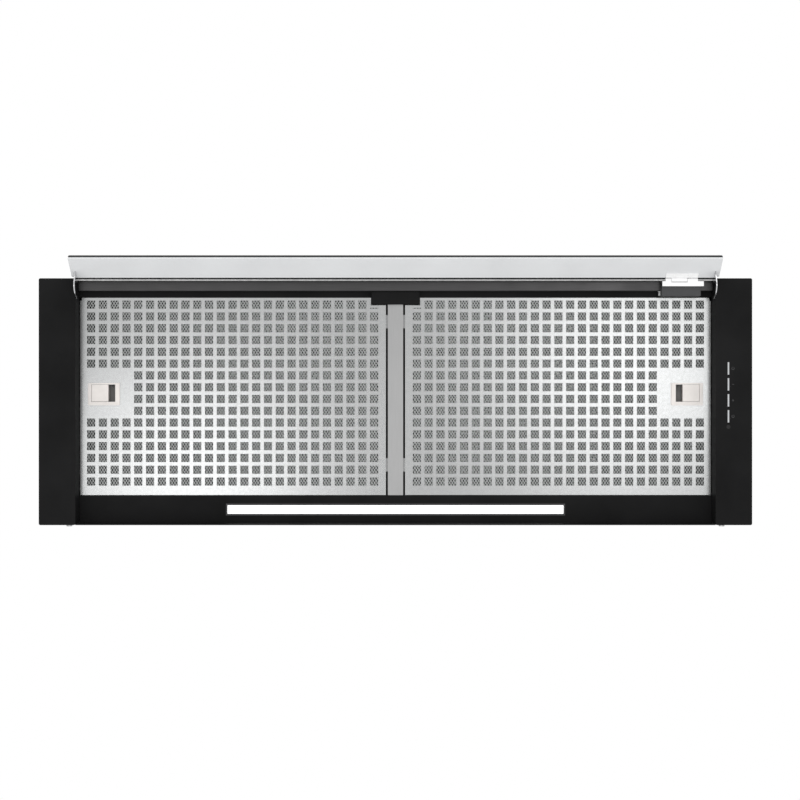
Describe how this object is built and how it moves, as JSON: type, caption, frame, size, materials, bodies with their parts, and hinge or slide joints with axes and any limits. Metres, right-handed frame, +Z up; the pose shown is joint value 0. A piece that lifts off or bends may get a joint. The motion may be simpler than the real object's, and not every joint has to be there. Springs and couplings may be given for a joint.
{
  "type": "under cabinet range hood",
  "caption": "Built-in range hood with two latched grease filters, a tilting front visor, a light strip, touch controls and a blower housing with a duct collar.",
  "frame": {"origin": "centre of the four cabinet screw holes, in the plane of the top plate's upper face, which meets the underside of the cabinet", "axes": "+X along the width towards the control side, -Y to the front with the visor, +Z up into the cabinet"},
  "size_m": [0.86, 0.3263, 0.2857],
  "materials": {
    "black_steel": "matt powder coat",
    "satin_rail": "satin",
    "galvanised_steel": "galvanised",
    "post_aluminium": "satin",
    "filter_aluminium": "brushed satin",
    "mesh_aluminium": "expanded sheet",
    "black_plastic": "matt",
    "grey_plastic": "fine grain",
    "ivory_plastic": "matt",
    "latch_plastic": "satin",
    "circuit_board": "solder mask",
    "light_diffuser": "opal",
    "key_light_guide": "frosted",
    "sensor_window": "smoked",
    "visor_glass": "back-painted, polished edge",
    "pale_enamel": "satin",
    "white_enamel": "satin",
    "bright_steel": "bright",
    "zinc_steel": "zinc plated",
    "motor_paint": "satin",
    "capacitor_can": "drawn can",
    "black_rubber": "matt"
  },
  "bodies": {
    "root": {"top_plate": "black_steel", "side_box_left": "black_steel", "side_box_right": "black_steel", "rear_panel": "black_steel", "front_rail": "black_steel", "hinge_rail": "satin_rail", "filter_pan": "black_steel", "centre_post": "post_aluminium", "centre_catch": "black_plastic", "led_channel": "black_plastic", "led_board": "circuit_board", "led_diffuser": "light_diffuser", "touch_board": "circuit_board", "touch_keys": "key_light_guide", "touch_sensor_window": "sensor_window", "visor_base_plate": "white_enamel", "visor_damper": "grey_plastic", "rear_screws": "zinc_steel", "blower_housing": "galvanised_steel", "housing_cover": "galvanised_steel", "housing_screws": "zinc_steel", "duct_collar": "black_plastic", "flap_pin": "zinc_steel", "blower_scroll": "grey_plastic", "scroll_cheeks": "grey_plastic", "inlet_rings": "grey_plastic", "motor": "motor_paint", "motor_bracket": "zinc_steel", "motor_rubbers": "black_rubber", "capacitor": "capacitor_can", "electronics_box": "ivory_plastic", "led_driver": "ivory_plastic", "terminal_block": "ivory_plastic", "cable_gland": "black_plastic"},
    "visor": {"visor_glass": "visor_glass", "visor_panel": "pale_enamel", "visor_rod": "zinc_steel", "visor_arm_left": "bright_steel", "visor_arm_right": "bright_steel", "visor_leaf": "white_enamel", "visor_screws": "white_enamel"},
    "filter_left": {"filter_frame_left": "filter_aluminium", "filter_face_left": "filter_aluminium", "filter_mesh_left": "mesh_aluminium", "filter_back_left": "filter_aluminium", "latch_bezel_left": "latch_plastic", "latch_spring_left": "zinc_steel"},
    "latch_left": {"latch_slider_left": "latch_plastic"},
    "filter_right": {"filter_frame_right": "filter_aluminium", "filter_face_right": "filter_aluminium", "filter_mesh_right": "mesh_aluminium", "filter_back_right": "filter_aluminium", "latch_bezel_right": "latch_plastic", "latch_spring_right": "zinc_steel"},
    "latch_right": {"latch_slider_right": "latch_plastic"},
    "blower_wheel": {"impeller": "grey_plastic", "motor_shaft": "bright_steel"},
    "flap_front": {"flap_front": "grey_plastic"},
    "flap_rear": {"flap_rear": "grey_plastic"}
  },
  "joints": [
    {"name": "visor_tilt", "type": "hinge", "parent": "root", "child": "visor", "pos_m": [0, -0.1468, -0.0416], "axis": [1, 0, 0], "range_deg": [0, 40]},
    {"name": "filter_left_swing", "type": "hinge", "parent": "root", "child": "filter_left", "pos_m": [-0.0106, 0, -0.02], "axis": [0, -1, 0], "range_deg": [0, 90]},
    {"name": "latch_left_slide", "type": "slide", "parent": "filter_left", "child": "latch_left", "axis": [1, 0, 0], "range_m": [0, 0.0055], "stiffness_N_per_m": 300, "springref_m": -0.01, "deforming": ["latch_spring_left"]},
    {"name": "filter_right_swing", "type": "hinge", "parent": "root", "child": "filter_right", "pos_m": [0.0106, 0, -0.02], "axis": [0, 1, 0], "range_deg": [0, 90]},
    {"name": "latch_right_slide", "type": "slide", "parent": "filter_right", "child": "latch_right", "axis": [-1, 0, 0], "range_m": [0, 0.0055], "stiffness_N_per_m": 300, "springref_m": -0.01, "deforming": ["latch_spring_right"]},
    {"name": "blower_spin", "type": "hinge", "parent": "root", "child": "blower_wheel", "pos_m": [0, 0.03, 0.098], "axis": [1, 0, 0], "continuous": true},
    {"name": "flap_front_swing", "type": "hinge", "parent": "root", "child": "flap_front", "pos_m": [0, -0.01, 0.1852], "axis": [-1, 0, 0], "range_deg": [0, 75]},
    {"name": "flap_rear_swing", "type": "hinge", "parent": "root", "child": "flap_rear", "pos_m": [0, -0.01, 0.1852], "axis": [1, 0, 0], "range_deg": [0, 75]}
  ]
}
